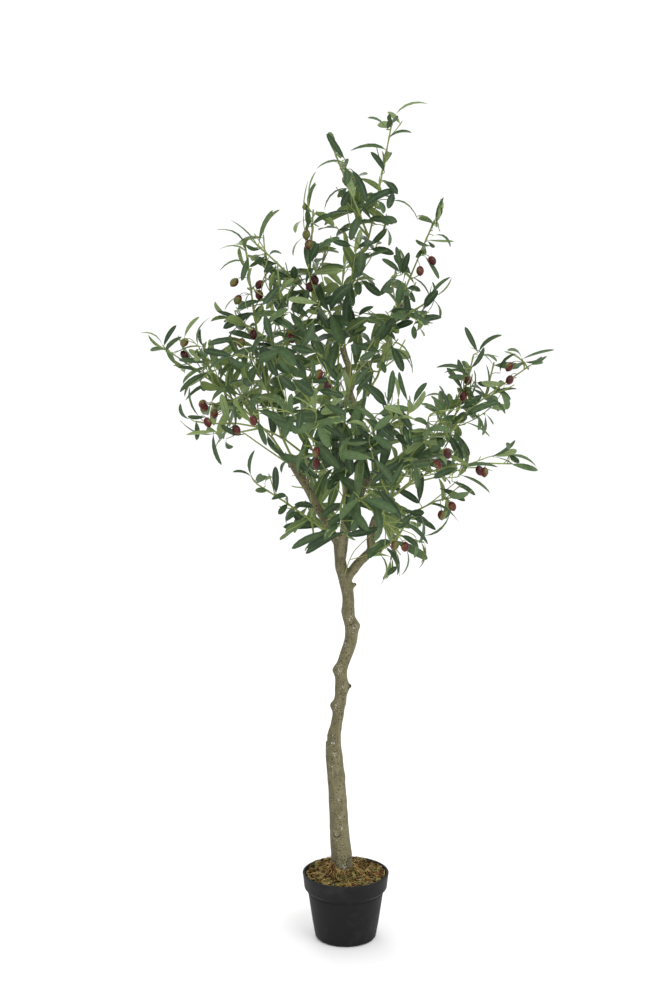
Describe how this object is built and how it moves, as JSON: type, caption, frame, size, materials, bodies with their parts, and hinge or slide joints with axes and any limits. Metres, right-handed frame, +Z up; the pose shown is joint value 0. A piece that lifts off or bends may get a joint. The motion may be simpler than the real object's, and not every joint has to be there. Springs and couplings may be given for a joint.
{
  "type": "potted artificial olive tree",
  "caption": "Artificial olive tree with a slim knotted trunk, cut boughs and open sprays of narrow leaves and small olives, in a round tapering nursery pot topped with moss.",
  "frame": {"origin": "centre of the pot's flat underside", "axes": "+X to the right of the front view, +Y away from its viewer, +Z up along the trunk"},
  "size_m": [0.7352, 0.5205, 1.4962],
  "materials": {
    "pot_plastic": "matte black",
    "cement": "rough grey",
    "dried_moss": "dull olive and orange-brown strands",
    "bark": "khaki brown moulded bark, dull",
    "leaf_green": "dull grey-green, lighter underneath"
  },
  "bodies": {
    "root": {"pot": "pot_plastic", "fill": "cement", "moss": "dried_moss", "trunk": "bark", "right_bough": "bark", "left_bough": "bark", "upper_bough": "bark", "back_bough": "bark", "front_bough": "bark", "foliage_top": "leaf_green", "foliage_upper_left": "leaf_green", "foliage_upper_right": "leaf_green", "foliage_back_top": "leaf_green", "foliage_left_high": "leaf_green", "foliage_left_far": "leaf_green", "foliage_left_low": "leaf_green", "foliage_low_left": "leaf_green", "foliage_front": "leaf_green", "foliage_right_far": "leaf_green", "foliage_right_mid": "leaf_green", "foliage_right_low": "leaf_green", "foliage_back_left": "leaf_green", "foliage_back_right": "leaf_green"}
  },
  "joints": []
}
